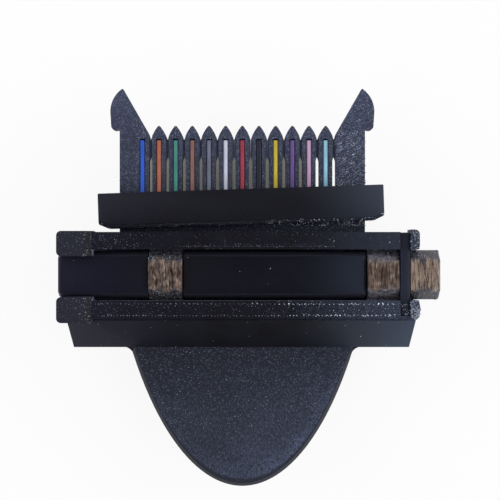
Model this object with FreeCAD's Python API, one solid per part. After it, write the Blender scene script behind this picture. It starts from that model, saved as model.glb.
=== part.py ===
"""Hand clip that sorts twelve bare optical fibres by colour.

A printed front body carries a comb, a hinge bar and a thumb tongue. A rear lever turns on a pin in the bar
and is pushed shut by a coil spring. A keeper slides along the comb, and a coloured filament marks each slot.

Millimetres. X runs along the hinge pin, Y from the thumb tongue to the comb, Z out of the face that shows the
colours. The origin lies under the middle of the hinge pin, on the flat back that the clip rests on.
"""
import FreeCAD
import Part
import math
import os

# Levels, measured up from the resting face.
LEVER_THICK = 2.2
FINGER_GAP = 7.5
PLATE_THICK = 2.4
BAR_RISE = 6.0
PLATE_REAR = LEVER_THICK + FINGER_GAP
PLATE_FRONT = PLATE_REAR + PLATE_THICK
RAIL_TOP = PLATE_FRONT + BAR_RISE

# Comb: eleven pointed teeth between two barbed horns leave twelve slots.
PITCH = 2.5
SLOT_COUNT = 12
SLOT_WIDTH = 0.5
NECK_GAP = 0.03
SLOT_FLOOR_Y = 9.0
SLOT_WIDE_Y = 17.05
NECK_LOW_Y = 17.75
NECK_GROOVE_WIDTH = 0.42
NECK_GROOVE_DEPTH = 0.6
NECK_GROOVE_TOP_Y = 20.7
TOOTH_SHOULDER_Y = 20.2
TOOTH_FLANK = (0.75, 21.36)
TOOTH_BLUNT = (0.22, 22.16)
TOOTH_TIP_Y = 22.28
COMB_HALF = 18.4
FIRST_SLOT_X = -PITCH * (SLOT_COUNT - 1) / 2

# Right horn, as points (x, y) from the comb's side out round the barb, over the tip and down to a slot.
HORN_SIDE = (COMB_HALF, 21.75)
BARB_LOW = (18.95, 21.65)
BARB_CORNER = (19.45, 21.8)
BARB_SIDE = (19.68, 22.35)
BARB_WIDE = (19.8, 24.2)
HORN_CROWN = (19.36, 26.32)
HORN_TIP_OUTER = (18.17, 27.74)
HORN_TIP = (17.98, 27.82)
HORN_TIP_INNER = (17.80, 27.64)
HORN_FOOT = (14.05, 21.1)
HORN_THROAT = (NECK_GAP / 2 - FIRST_SLOT_X, TOOTH_SHOULDER_Y)

# Colour marks: filaments with a low round top, pressed into grooves, one to the left of each slot.
MARK_COLOURS = ("blue", "orange", "green", "brown", "slate", "white",
                "red", "black", "yellow", "violet", "rose", "aqua")
MARK_WIDTH = 0.84
MARK_DEPTH = 0.64
MARK_CROWN = 0.16
MARK_SUNK = 0.03
MARK_TOP_Y = 20.1
MARK_LOW_Y = 9.2
NOTCH_LENGTH = 0.25

# Hinge bar: two rails with a channel between them, on a body with a sloping lower face.
BODY_X = (-25.7, 25.45)
BODY_TAPER = 0.45
RAIL_LEFT = -27.1
RAIL_RIGHT = 25.9
RAIL_UNDER = 13.6
RAIL_UPPER_Y = 6.3
RAIL_LOWER_Y = -6.4
SLOPE_TOP_Y = -6.7
SLOPE_TOP_DROP = 0.7
SLOPE_FOOT_Y = -10.9
CHANNEL_HALF = 3.75
CHANNEL_FLOOR = PLATE_REAR + 1.2

# Ears: raised ends of the rails. The left pair leans over the barrel.
EAR_RISE = 0.7
LEFT_EAR_END = -23.1
EAR_SLOPE = 1.3
EAR_FOOT_DROP = 0.2
UPPER_LEFT_EAR = (2.75, 6.45)
LOWER_LEFT_EAR = (-7.0, -3.2)
UPPER_RIGHT_EAR = (3.66, 6.65)
LOWER_RIGHT_EAR = (-6.45, -3.66)
RIGHT_EAR_START = 24.6
EAR_CORNER_R = 0.7

# Barrel, read from left to right: lever knuckle, block, lever knuckle, block, clip, pin head.
# Flat tops and sides are given as (y, z) corners from the hinge axis, all on one circle.
BARREL_R = 3.55
BLOCK_FLAT = (2.1, 2.86)
KNUCKLE_FLAT = (2.75, 2.24)
BARREL_SIDE = (3.5, 0.6)
HEAD_GROWTH = 0.15
AXIS_Z = PLATE_FRONT + 2.6
LEFT_KNUCKLE = (-27.1, -13.9)
LEFT_BLOCK = (-13.8, -8.8)
RIGHT_KNUCKLE = (-8.65, 18.3)
RIGHT_BLOCK = (18.45, 23.1)
CLIP_SLOT = (23.15, 24.6)
PIN_HEAD = (24.65, 29.05)
PIN_R = 1.5
PIN_GROOVE_R = 1.1
PIN_LEFT = -26.8
PIN_HEAD_BEVEL = 0.25
KNUCKLE_END_BEVEL = 0.4
RUNNING_GAP = 0.08
BARREL_GAP = 0.25

# Retaining clip: a forked plate dropped across the rails into the groove of the pin.
CLIP_THICK = 1.38
CLIP_Y = (-5.9, 6.2)
CLIP_SINK = 0.25
CLIP_LOW_Z = 11.6
CLIP_FORK_GAP = 0.05

# Tongue: an arc of a long ellipse, bevelled round its front edge.
TONGUE_ELLIPSE = (54.75, 21.3)
TONGUE_TIP_Y = -31.8
TONGUE_ROOT_FILLET = 0.9
TONGUE_BEVEL = 0.5
TONGUE_LAP = 1.0

# Rear lever: a flat plate with a jaw, a tail behind the tongue and two arms up to the knuckles.
LEVER_HALF = 24.0
LEVER_TOP_Y = 6.2
LEVER_SHOULDER_Y = -8.0
TAIL_INSET = 1.2
LEVER_CORNER_R = 2.0
ARMS = ((-24.0, -15.5), (-6.5, 15.0))
ARM_HALF = 2.2
WINDOW_MARGIN = 0.5
JAW_Y = (4.2, 6.2)
JAW_HALF = 18.0
JAW_LAND = 1.8
JAW_GAP = 0.3

# Return spring between a peg on the tongue and a round seat in the lever.
SPRING_Y = -16.0
SPRING_R = 2.7
WIRE_R = 0.3
SPRING_TURNS = 5
SPRING_END_GAP = 0.05
PEG_R = 2.3
PEG_RISE = 1.0
SEAT_R = 3.4
SEAT_DEPTH = 0.4

# Keeper: a sleeve round the comb that sits a little crooked on its loose fit.
KEEPER_CENTRE = (-0.18, 10.12)
KEEPER_HALF = 21.3
KEEPER_HEIGHT = 5.26
KEEPER_TILT = 1.85
KEEPER_SLOT_HALF = 18.85
KEEPER_PLAY = 0.15
KEEPER_FRONT_WALL = 1.75
KEEPER_BACK_WALL = 1.35
KEEPER_CHAMFER = (1.45, 0.65)
KEEPER_BEVEL = 0.45

X_DIRECTION = FreeCAD.Vector(1, 0, 0)
Z_DIRECTION = FreeCAD.Vector(0, 0, 1)


def point(x, y, z=0.0):
    return FreeCAD.Vector(x, y, z)


def box(x_range, y_range, z_range):
    size = [high - low for low, high in (x_range, y_range, z_range)]
    return Part.makeBox(*size, point(x_range[0], y_range[0], z_range[0]))


def rod_along_x(radius, x_range):
    """A round bar on the hinge axis."""
    length = x_range[1] - x_range[0]
    return Part.makeCylinder(radius, length, point(x_range[0], 0, AXIS_Z), X_DIRECTION)


def barrel_bar(x_range, top, growth=0.0):
    """A bar on the hinge axis with a flat top and bottom, steep shoulders and upright sides."""
    flat, crown = (size + growth for size in top)
    side, knee = BARREL_SIDE[0] + growth, BARREL_SIDE[1]
    right = [(flat, crown), (side, knee), (side, -knee), (flat, -crown)]
    corners = right + [(-y, z) for y, z in reversed(right)]
    return section_along_x([(y, AXIS_Z + z) for y, z in corners], x_range)


def bevelled_end(bar, x, bevel):
    """Bevels the edges round one end of a bar."""
    rim = [edge for edge in bar.Edges if all(abs(vertex.X - x) < 0.01 for vertex in edge.Vertexes)]
    return bar.makeChamfer(bevel, rim)


def plate(edges, low, high):
    """A flat piece from a closed outline drawn at height zero."""
    face = Part.Face(Part.Wire(edges))
    face.translate(point(0, 0, low))
    return face.extrude(point(0, 0, high - low))


def section_along_x(corners, x_range):
    """A bar of constant section, whose corners are given as (y, z)."""
    loop = [point(x_range[0], y, z) for y, z in corners]
    face = Part.Face(Part.makePolygon(loop + loop[:1]))
    return face.extrude(point(x_range[1] - x_range[0], 0, 0))


def line(start, end):
    return Part.LineSegment(point(*start), point(*end)).toShape()


def arc(start, middle, end):
    return Part.Arc(point(*start), point(*middle), point(*end)).toShape()


def polyline(corners):
    return [line(a, b) for a, b in zip(corners, corners[1:])]


def horn_edges():
    """The right horn's edges, and the left horn's as their mirror image."""
    right = [line(HORN_SIDE, BARB_LOW), arc(BARB_LOW, BARB_CORNER, BARB_SIDE), line(BARB_SIDE, BARB_WIDE),
             arc(BARB_WIDE, HORN_CROWN, HORN_TIP_OUTER), arc(HORN_TIP_OUTER, HORN_TIP, HORN_TIP_INNER),
             line(HORN_TIP_INNER, HORN_FOOT), line(HORN_FOOT, HORN_THROAT)]
    left = [edge.mirror(point(0, 0), X_DIRECTION) for edge in right]
    return left + right


def slot_edges(x):
    """One slot: a narrow neck at the top that opens to the fibre's own width."""
    neck = NECK_GAP / 2
    half = SLOT_WIDTH / 2
    floor = SLOT_FLOOR_Y + half
    down = [(x - neck, TOOTH_SHOULDER_Y), (x - neck, NECK_LOW_Y), (x - half, SLOT_WIDE_Y), (x - half, floor)]
    up = [(2 * x - px, py) for px, py in reversed(down)]
    return polyline(down) + [arc(down[-1], (x, SLOT_FLOOR_Y), up[0])] + polyline(up)


def neck_groove(x):
    """The groove along the front of a neck that leads a fibre into it."""
    half = NECK_GROOVE_WIDTH / 2
    return box((x - half, x + half), (SLOT_WIDE_Y, NECK_GROOVE_TOP_Y),
               (PLATE_FRONT - NECK_GROOVE_DEPTH, PLATE_FRONT + NECK_GROOVE_DEPTH))


def tooth_edges(x):
    """The pointed head of one tooth, between the necks of two slots."""
    half = (PITCH - NECK_GAP) / 2
    flank, flank_y = TOOTH_FLANK
    blunt, blunt_y = TOOTH_BLUNT
    rise = arc((x - half, TOOTH_SHOULDER_Y), (x - flank, flank_y), (x - blunt, blunt_y))
    crown = arc((x - blunt, blunt_y), (x, TOOTH_TIP_Y), (x + blunt, blunt_y))
    fall = arc((x + blunt, blunt_y), (x + flank, flank_y), (x + half, TOOTH_SHOULDER_Y))
    return [rise, crown, fall]


def comb_plate():
    left_side = (-HORN_SIDE[0], HORN_SIDE[1])
    edges = polyline([HORN_SIDE, (COMB_HALF, 0), (-COMB_HALF, 0), left_side]) + horn_edges()
    grooves = []
    for i in range(SLOT_COUNT):
        x = FIRST_SLOT_X + i * PITCH
        edges += slot_edges(x)
        grooves.append(neck_groove(x))
        if i < SLOT_COUNT - 1:
            edges += tooth_edges(x + PITCH / 2)
    return plate(Part.__sortEdges__(edges), PLATE_REAR, PLATE_FRONT).cut(grooves)


def tail_edges(inset, root_y):
    """The tongue's outline, closed straight across at root_y."""
    long_axis, short_axis = (size - inset for size in TONGUE_ELLIPSE)
    centre_y = TONGUE_TIP_Y + TONGUE_ELLIPSE[0]
    reach = math.asin((centre_y - root_y) / long_axis)
    ellipse = Part.Ellipse(point(0, centre_y - long_axis), point(short_axis, centre_y), point(0, centre_y))
    curve = Part.ArcOfEllipse(ellipse, reach - math.pi / 2, math.pi / 2 - reach).toShape()
    ends = [vertex.Point for vertex in curve.Vertexes]
    return [curve, Part.LineSegment(ends[-1], ends[0]).toShape()]


def root_gusset(side, root_half):
    """The small rounded corner between the tongue's edge and the bar."""
    r = TONGUE_ROOT_FILLET
    lap_y = SLOPE_FOOT_Y + TONGUE_LAP / 2
    inner = side * (root_half - r)
    outer = side * (root_half + r)
    low_y = SLOPE_FOOT_Y - r
    edge_low = (side * (root_half - 0.35 * r), low_y)
    bend = (side * (root_half + 0.29 * r), SLOPE_FOOT_Y - 0.29 * r)
    edges = polyline([edge_low, (inner, low_y), (inner, lap_y), (outer, lap_y), (outer, SLOPE_FOOT_Y)])
    edges.append(arc((outer, SLOPE_FOOT_Y), bend, edge_low))
    return plate(edges, PLATE_REAR, PLATE_FRONT - TONGUE_BEVEL)


def tongue():
    root_y = SLOPE_FOOT_Y + TONGUE_LAP
    blade = plate(tail_edges(0.0, root_y), PLATE_REAR, PLATE_FRONT)
    rim = [edge for edge in blade.Edges
           if edge.BoundBox.ZMin > PLATE_FRONT - 0.01 and edge.BoundBox.YMin < SLOPE_FOOT_Y]
    blade = blade.makeChamfer(TONGUE_BEVEL, rim)
    long_axis, short_axis = TONGUE_ELLIPSE
    drop = TONGUE_TIP_Y + long_axis - SLOPE_FOOT_Y
    root_half = short_axis * math.sqrt(1 - (drop / long_axis) ** 2)
    return blade.fuse([root_gusset(side, root_half) for side in (-1, 1)])


def rounded_end(block, x):
    """Rounds the upright corners at one end of a block."""
    corners = [edge for edge in block.Edges
               if edge.BoundBox.ZLength > EAR_CORNER_R and all(abs(v.X - x) < 0.01 for v in edge.Vertexes)]
    return block.makeFillet(EAR_CORNER_R, corners)


def bar_body():
    """The bar below its rails: square at the comb's side, sloping at the tongue's side."""
    shoulder = RAIL_TOP - SLOPE_TOP_DROP
    lower = section_along_x([(RAIL_UPPER_Y, PLATE_REAR), (RAIL_UPPER_Y, shoulder), (SLOPE_TOP_Y, shoulder),
                             (SLOPE_FOOT_Y, PLATE_FRONT), (SLOPE_FOOT_Y, PLATE_REAR)], BODY_X)
    for x, inward in zip(BODY_X, (1, -1)):
        foot_x = x + inward * BODY_TAPER
        taper = polyline([(x, SLOPE_TOP_Y), (foot_x, SLOPE_FOOT_Y), (x, SLOPE_FOOT_Y), (x, SLOPE_TOP_Y)])
        lower = lower.cut(plate(taper, PLATE_REAR, RAIL_TOP))
    rails = box((RAIL_LEFT, RAIL_RIGHT), (RAIL_LOWER_Y, RAIL_UPPER_Y), (RAIL_UNDER, RAIL_TOP))
    return lower.fuse(rounded_end(rounded_end(rails, RAIL_LEFT), RAIL_RIGHT))


def left_ear(y_range):
    """A raised block with a ramp at its inner end. What leans over the channel starts above the pin."""
    top = RAIL_TOP + EAR_RISE
    ramp_end = LEFT_EAR_END + EAR_SLOPE
    profile = [(RAIL_LEFT, AXIS_Z), (RAIL_LEFT, top), (LEFT_EAR_END, top),
               (ramp_end, RAIL_TOP - EAR_FOOT_DROP), (ramp_end, AXIS_Z)]
    loop = [point(x, y_range[0], z) for x, z in profile]
    face = Part.Face(Part.makePolygon(loop + loop[:1]))
    return rounded_end(face.extrude(point(0, y_range[1] - y_range[0], 0)), RAIL_LEFT)


def right_ear(y_range):
    block = box((RIGHT_EAR_START, RAIL_RIGHT), y_range, (RAIL_UNDER, RAIL_TOP + EAR_RISE))
    return rounded_end(block, RAIL_RIGHT)


def ears():
    return [left_ear(UPPER_LEFT_EAR), left_ear(LOWER_LEFT_EAR),
            right_ear(UPPER_RIGHT_EAR), right_ear(LOWER_RIGHT_EAR)]


def mark_x(i):
    return FIRST_SLOT_X + (i - 0.5) * PITCH


def front_body():
    body = comb_plate().fuse([bar_body(), tongue()])
    channel = box((RAIL_LEFT - 1, RAIL_RIGHT + 1), (-CHANNEL_HALF, CHANNEL_HALF),
                  (CHANNEL_FLOOR, RAIL_TOP + 2))
    body = body.cut(channel).fuse(ears())
    body = body.cut(rod_along_x(BARREL_R + BARREL_GAP, (RAIL_LEFT - 1, LEFT_EAR_END + EAR_SLOPE + 1)))
    for left, right in ARMS:
        body = body.cut(box((left - WINDOW_MARGIN, right + WINDOW_MARGIN), (-CHANNEL_HALF, CHANNEL_HALF),
                            (PLATE_REAR - 1, CHANNEL_FLOOR + 1)))
    clip_slot_low = CLIP_LOW_Z - 0.1
    body = body.cut(box(CLIP_SLOT, (CLIP_Y[0] - 0.05, RAIL_UPPER_Y + 1), (clip_slot_low, RAIL_TOP + 2)))
    land = box((-JAW_HALF, JAW_HALF), JAW_Y, (PLATE_REAR - JAW_LAND, PLATE_REAR))
    peg = Part.makeCylinder(PEG_R, PEG_RISE, point(0, SPRING_Y, PLATE_REAR - PEG_RISE))
    body = body.fuse([land, peg])
    grooves = []
    for i in range(SLOT_COUNT):
        x_range = (mark_x(i) - MARK_WIDTH / 2, mark_x(i) + MARK_WIDTH / 2)
        grooves.append(box(x_range, (MARK_LOW_Y, MARK_TOP_Y + NOTCH_LENGTH),
                           (PLATE_FRONT - MARK_SUNK - MARK_DEPTH, PLATE_FRONT + 1)))
    return body.cut(grooves).removeSplitter()


def rear_lever():
    root_y = LEVER_SHOULDER_Y
    tail = plate(tail_edges(TAIL_INSET, root_y + LEVER_CORNER_R), 0.0, LEVER_THICK)
    shoulder = box((-LEVER_HALF, LEVER_HALF), (root_y, LEVER_TOP_Y), (0.0, LEVER_THICK))
    corners = [edge for edge in shoulder.Edges if edge.BoundBox.ZLength > LEVER_THICK - 0.01]
    shoulder = shoulder.makeFillet(LEVER_CORNER_R, corners)
    jaw_top = PLATE_REAR - JAW_LAND - JAW_GAP
    jaw = box((-JAW_HALF, JAW_HALF), JAW_Y, (0.0, jaw_top))
    seat = Part.makeCylinder(SEAT_R, LEVER_THICK, point(0, SPRING_Y, LEVER_THICK - SEAT_DEPTH))
    arms = [box(x_range, (-ARM_HALF, ARM_HALF), (0.0, AXIS_Z)) for x_range in ARMS]
    knuckles = [bevelled_end(barrel_bar(LEFT_KNUCKLE, KNUCKLE_FLAT), LEFT_KNUCKLE[0], KNUCKLE_END_BEVEL),
                bevelled_end(barrel_bar(RIGHT_KNUCKLE, KNUCKLE_FLAT), RIGHT_KNUCKLE[1], KNUCKLE_END_BEVEL)]
    lever = tail.cut(seat).fuse([shoulder, jaw] + arms + knuckles)
    bore = rod_along_x(PIN_R + RUNNING_GAP, (LEFT_KNUCKLE[0] - 1, RIGHT_KNUCKLE[1] + 1))
    return lever.cut(bore).removeSplitter()


def bearing_block(x_range):
    """A flat-topped block that fills the channel and holds the pin."""
    crown = barrel_bar(x_range, BLOCK_FLAT)
    foot = box(x_range, (-CHANNEL_HALF, CHANNEL_HALF), (CHANNEL_FLOOR, AXIS_Z))
    return crown.fuse(foot).cut(rod_along_x(PIN_R, x_range)).removeSplitter()


def hinge_pin():
    shaft = rod_along_x(PIN_R, (PIN_LEFT, CLIP_SLOT[0]))
    groove = rod_along_x(PIN_GROOVE_R, (CLIP_SLOT[0], PIN_HEAD[0]))
    head = bevelled_end(barrel_bar(PIN_HEAD, BLOCK_FLAT, HEAD_GROWTH), PIN_HEAD[1], PIN_HEAD_BEVEL)
    return shaft.fuse([groove, head]).removeSplitter()


def retaining_clip():
    middle = (CLIP_SLOT[0] + CLIP_SLOT[1]) / 2
    x_range = (middle - CLIP_THICK / 2, middle + CLIP_THICK / 2)
    blank = box(x_range, CLIP_Y, (CLIP_LOW_Z, RAIL_TOP - CLIP_SINK))
    reach = PIN_GROOVE_R + CLIP_FORK_GAP
    fork = box(x_range, (-reach, reach), (CLIP_LOW_Z, AXIS_Z)).fuse(rod_along_x(reach, x_range))
    return blank.cut(fork)


def return_spring():
    low = LEVER_THICK - SEAT_DEPTH + SPRING_END_GAP + WIRE_R
    height = PLATE_REAR - SPRING_END_GAP - WIRE_R - low
    coil = Part.makeHelix(height / SPRING_TURNS, height, SPRING_R)
    wire_end = Part.Wire(Part.makeCircle(WIRE_R, point(SPRING_R, 0), point(0, 1)))
    spring = Part.Wire(coil).makePipeShell([wire_end], True, True)
    spring.translate(point(0, SPRING_Y, low))
    return spring


def keeper_bar():
    """The sleeve is built level about its own centre, then turned and carried to its place."""
    front = PLATE_FRONT + KEEPER_PLAY + KEEPER_FRONT_WALL
    back = PLATE_REAR - KEEPER_PLAY - KEEPER_BACK_WALL
    half_height = KEEPER_HEIGHT / 2
    cut_x, cut_y = KEEPER_CHAMFER
    corners = [(KEEPER_HALF, half_height), (-KEEPER_HALF, half_height), (-KEEPER_HALF, cut_y - half_height),
               (cut_x - KEEPER_HALF, -half_height), (KEEPER_HALF - cut_x, -half_height),
               (KEEPER_HALF, cut_y - half_height)]
    sleeve = plate(polyline(corners + corners[:1]), back, front)
    low_edges = [edge for edge in sleeve.Edges
                 if edge.BoundBox.ZMin > front - 0.01 and edge.BoundBox.YMax < cut_y - half_height + 0.01]
    sleeve = sleeve.makeChamfer(KEEPER_BEVEL, low_edges)
    sleeve = sleeve.cut(box((-KEEPER_SLOT_HALF, KEEPER_SLOT_HALF), (-half_height - 1, half_height + 1),
                            (PLATE_REAR - KEEPER_PLAY, PLATE_FRONT + KEEPER_PLAY)))
    sleeve.rotate(point(0, 0), Z_DIRECTION, KEEPER_TILT)
    sleeve.translate(point(*KEEPER_CENTRE))
    return sleeve


def colour_mark(i):
    """A straight filament with a low round top, lying in its groove."""
    top = PLATE_FRONT - MARK_SUNK
    levels = (top - MARK_DEPTH, top - MARK_CROWN)
    x = mark_x(i)
    left_low, left_high = (point(x - MARK_WIDTH / 2, MARK_LOW_Y, z) for z in levels)
    right_low, right_high = (point(x + MARK_WIDTH / 2, MARK_LOW_Y, z) for z in levels)
    sides = Part.makePolygon([left_high, left_low, right_low, right_high])
    crown = Part.Arc(right_high, point(x, MARK_LOW_Y, top), left_high).toShape()
    section = Part.Face(Part.Wire(sides.Edges + [crown]))
    return section.extrude(point(0, MARK_TOP_Y - MARK_LOW_Y))


pieces = {
    "front_body": front_body(),
    "rear_lever": rear_lever(),
    "hinge_pin": hinge_pin(),
    "left_bearing_block": bearing_block(LEFT_BLOCK),
    "right_bearing_block": bearing_block(RIGHT_BLOCK),
    "retaining_clip": retaining_clip(),
    "return_spring": return_spring(),
    "keeper_bar": keeper_bar(),
}
for index, colour in enumerate(MARK_COLOURS):
    pieces["colour_mark_" + colour] = colour_mark(index)

os.makedirs("parts", exist_ok=True)
for name, shape in pieces.items():
    shape.exportStep("parts/" + name + ".step")
    print(name, shape.isValid(), len(shape.Solids), round(shape.Volume, 2))
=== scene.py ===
"""Looks for a printed clip that sorts twelve bare optical fibres by colour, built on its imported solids."""
import math

import bmesh
import bpy
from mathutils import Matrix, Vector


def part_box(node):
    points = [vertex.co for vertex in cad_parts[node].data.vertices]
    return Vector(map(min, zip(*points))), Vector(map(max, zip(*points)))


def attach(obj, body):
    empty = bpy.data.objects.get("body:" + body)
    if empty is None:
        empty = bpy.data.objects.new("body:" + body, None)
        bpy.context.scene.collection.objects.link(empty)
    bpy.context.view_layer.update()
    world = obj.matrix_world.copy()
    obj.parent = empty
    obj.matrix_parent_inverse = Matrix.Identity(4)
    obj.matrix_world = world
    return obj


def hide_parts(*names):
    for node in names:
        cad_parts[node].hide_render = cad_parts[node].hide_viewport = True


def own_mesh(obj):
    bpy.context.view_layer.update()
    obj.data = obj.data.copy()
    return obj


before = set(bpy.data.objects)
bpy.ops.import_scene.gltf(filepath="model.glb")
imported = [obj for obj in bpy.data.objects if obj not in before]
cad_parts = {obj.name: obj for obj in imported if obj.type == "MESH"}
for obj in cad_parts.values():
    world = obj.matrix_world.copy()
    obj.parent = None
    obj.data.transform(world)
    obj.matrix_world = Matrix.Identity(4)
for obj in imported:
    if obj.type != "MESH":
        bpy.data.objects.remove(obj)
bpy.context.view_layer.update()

# Front body: one print that carries the comb, the hinge bar and the thumb tongue, in black filament.
# The faces that were laid last have a sandy grain, the sloping side below the lower rail is smooth, and a
# printer's nozzle leaves every edge slightly round.
MM = 0.001
CLOUD_RANGE = (0.3, 0.7)


def add(tree, kind, settings, sockets):
    """Adds a node to a tree, with its properties, and its sockets set to a value or linked to another node."""
    made = tree.nodes.new(kind)
    for name, value in settings.items():
        setattr(made, name, value)
    for key, value in sockets.items():
        if isinstance(value, bpy.types.NodeSocket):
            tree.links.new(value, made.inputs[key])
        else:
            made.inputs[key].default_value = value
    return made


def new_finish(name):
    """A material with a bare shader, and the object coordinates that its patterns follow."""
    finish = bpy.data.materials.new(name)
    finish.use_nodes = True
    tree = finish.node_tree
    shader = tree.nodes["Principled BSDF"]
    place = tree.nodes.new("ShaderNodeTexCoord").outputs["Object"]
    return finish, tree, shader, place


def math_node(tree, operation, first, second):
    return add(tree, "ShaderNodeMath", {"operation": operation}, {0: first, 1: second}).outputs[0]


def product(tree, *factors):
    result = factors[0]
    for factor in factors[1:]:
        result = math_node(tree, "MULTIPLY", result, factor)
    return result


def parts(tree, vector):
    """The parts of a vector along the three axes."""
    return add(tree, "ShaderNodeSeparateXYZ", {}, {0: vector}).outputs


def spread(tree, value, low, high, out_low=0.0, out_high=1.0):
    """Maps a range of a value to another range, and holds it at the ends."""
    sockets = {"Value": value, "From Min": low, "From Max": high, "To Min": out_low, "To Max": out_high}
    return add(tree, "ShaderNodeMapRange", {}, sockets).outputs["Result"]


def mixed_value(tree, factor, first, second):
    return add(tree, "ShaderNodeMix", {}, {0: factor, 2: first, 3: second}).outputs[0]


def mixed_colour(tree, factor, first, second):
    sockets = {0: factor, 6: first, 7: second}
    return add(tree, "ShaderNodeMix", {"data_type": "RGBA"}, sockets).outputs[2]


def noise(tree, place, size, detail=2.0, roughness=0.5):
    sockets = {"Vector": place, "Scale": 1 / size, "Detail": detail, "Roughness": roughness}
    return add(tree, "ShaderNodeTexNoise", {}, sockets).outputs["Fac"]


def stretched(tree, place, sizes, turn=0.0):
    """Coordinates in which a pattern of size one comes out with a different size along each axis."""
    turned = add(tree, "ShaderNodeMapping", {}, {"Vector": place, "Rotation": (0, 0, turn)}).outputs[0]
    scale = tuple(1 / size for size in sizes)
    return add(tree, "ShaderNodeMapping", {}, {"Vector": turned, "Scale": scale}).outputs[0]


def surface(tree, shader, colour, roughness, gloss=0.5):
    """Links a colour and a roughness to a shader, and sets how much it shines."""
    tree.links.new(colour, shader.inputs["Base Color"])
    tree.links.new(roughness, shader.inputs["Roughness"])
    shader.inputs["Specular IOR Level"].default_value = gloss


def bumped(tree, shader, height, strength, distance):
    bump = add(tree, "ShaderNodeBump", {}, {"Height": height, "Strength": strength, "Distance": distance})
    tree.links.new(bump.outputs["Normal"], shader.inputs["Normal"])


FLAT_TOP_NORMAL = (0.80, 0.97)


def flat_top(tree):
    """One on the faces that look straight up, none on slopes and sides."""
    normal = tree.nodes.new("ShaderNodeNewGeometry").outputs["True Normal"]
    return spread(tree, parts(tree, normal)["Z"], *FLAT_TOP_NORMAL)


LAYER_HEIGHT = 0.2 * MM


def layer_lines(tree, place):
    """The print's layers, which show as fine lines round every upright side."""
    sockets = {"Vector": place, "Scale": 1 / (LAYER_HEIGHT * 2 * math.pi), "Distortion": 0.6, "Detail": 1.0}
    return add(tree, "ShaderNodeTexWave", {"bands_direction": "Z"}, sockets).outputs["Fac"]


TONGUE_ROOT_Y = -10.5 * MM
TONGUE_TIP_Y = -31.8 * MM
TONGUE_HALF_WIDTH = 21.3 * MM
TONGUE_HALF_LENGTH = 54.75 * MM


def tongue_reach(tree, axes):
    """How far out a point lies on the tongue, whose outline is an ellipse: one at its edge."""
    across = math_node(tree, "DIVIDE", axes["X"], TONGUE_HALF_WIDTH)
    from_centre = math_node(tree, "SUBTRACT", axes["Y"], TONGUE_TIP_Y + TONGUE_HALF_LENGTH)
    along = math_node(tree, "DIVIDE", from_centre, TONGUE_HALF_LENGTH)
    return math_node(tree, "ADD", product(tree, across, across), product(tree, along, along))


STROKE_CONTRAST = (0.36, 0.66)
TONGUE_STROKE = (0.13 * MM, 0.50 * MM, 0.13 * MM)
ROOT_STROKE = (0.50 * MM, 0.15 * MM, 0.15 * MM)
ROOT_STROKE_TURN = math.radians(-40)
ROOT_STROKE_Y = (-21 * MM, -16 * MM)
ROOT_STROKE_SHARE = (0.0, 0.8)
HORN_STROKE = (0.42 * MM, 0.15 * MM, 0.15 * MM)
HORN_STROKE_TURN = math.radians(35)
HORN_STROKE_X = (2 * MM, 15 * MM)
HORN_STROKE_SHARE = (0.10, 0.30)
BAR_MIDDLE_Y = (-1 * MM, 1 * MM)


def strokes(tree, place, sizes, turn=0.0):
    """Short strokes of the nozzle, of the given sizes and all turned the same way."""
    return spread(tree, noise(tree, stretched(tree, place, sizes, turn), 1.0), *STROKE_CONTRAST)


def grain_strokes(tree, place, axes):
    """Strokes that slant on the tongue's root and on the right horn, and stand upright on the tongue's tip."""
    at_root = spread(tree, axes["Y"], *ROOT_STROKE_Y, *ROOT_STROKE_SHARE)
    tongue = mixed_value(tree, at_root, strokes(tree, place, TONGUE_STROKE),
                         strokes(tree, place, ROOT_STROKE, ROOT_STROKE_TURN))
    horn = product(tree, strokes(tree, place, HORN_STROKE, HORN_STROKE_TURN),
                   spread(tree, axes["X"], *HORN_STROKE_X, *HORN_STROKE_SHARE))
    return mixed_value(tree, spread(tree, axes["Y"], *BAR_MIDDLE_Y), tongue, horn)


# Painted light and shade on the grain: darker beside the bar and the keeper, where shade falls, and paler
# towards the horns, the tongue's tip and the more strongly lit sides.
KEEPER_LINE_Y = (9.5 * MM, 10.5 * MM)
UNDER_KEEPER_LIGHT = (1.0, 0.19)
COMB_LIT_Y = (13 * MM, 27 * MM)
COMB_LIGHT = (0.64, 1.52)
COMB_LIT_X = (-15 * MM, 15 * MM)
COMB_SIDE_LIGHT = (1.50, 1.06)
TONGUE_LIGHT = (0.05, 0.50)
TONGUE_LIT_X = (-4 * MM, 14 * MM)
TONGUE_SIDE_LIGHT = (0.80, 1.70)
# The tongue is paler near its border.
TONGUE_EDGE_REACH = (0.86, 0.95)
TONGUE_EDGE_PALENESS = (0.97, 1.35)
# Painted light on the strip below the keeper, which lies in shade between the keeper and the rail.
STRIP_START_Y = (0, 5 * MM)
STRIP_LIT_Y = (6.7 * MM, 8.4 * MM)
STRIP_LIGHT = (0.20, 1.05)


def painted_light_share(tree, axes):
    """How much paler the grain shows: painted light towards the horns, the tongue's tip and the lit sides,
    painted shade beside the bar.
    """
    comb = product(tree, spread(tree, axes["Y"], *KEEPER_LINE_Y),
                   spread(tree, axes["Y"], *COMB_LIT_Y, *COMB_LIGHT),
                   spread(tree, axes["X"], *COMB_LIT_X, *COMB_SIDE_LIGHT))
    tongue = product(tree, spread(tree, axes["Y"], TONGUE_ROOT_Y, TONGUE_TIP_Y, *TONGUE_LIGHT),
                     spread(tree, axes["X"], *TONGUE_LIT_X, *TONGUE_SIDE_LIGHT),
                     spread(tree, tongue_reach(tree, axes), *TONGUE_EDGE_REACH, *TONGUE_EDGE_PALENESS))
    strip = product(tree, spread(tree, axes["Y"], *STRIP_LIT_Y, *STRIP_LIGHT),
                    spread(tree, axes["Y"], *KEEPER_LINE_Y, *UNDER_KEEPER_LIGHT),
                    spread(tree, axes["Y"], *STRIP_START_Y))
    return math_node(tree, "ADD", comb, math_node(tree, "ADD", tongue, strip))


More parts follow.
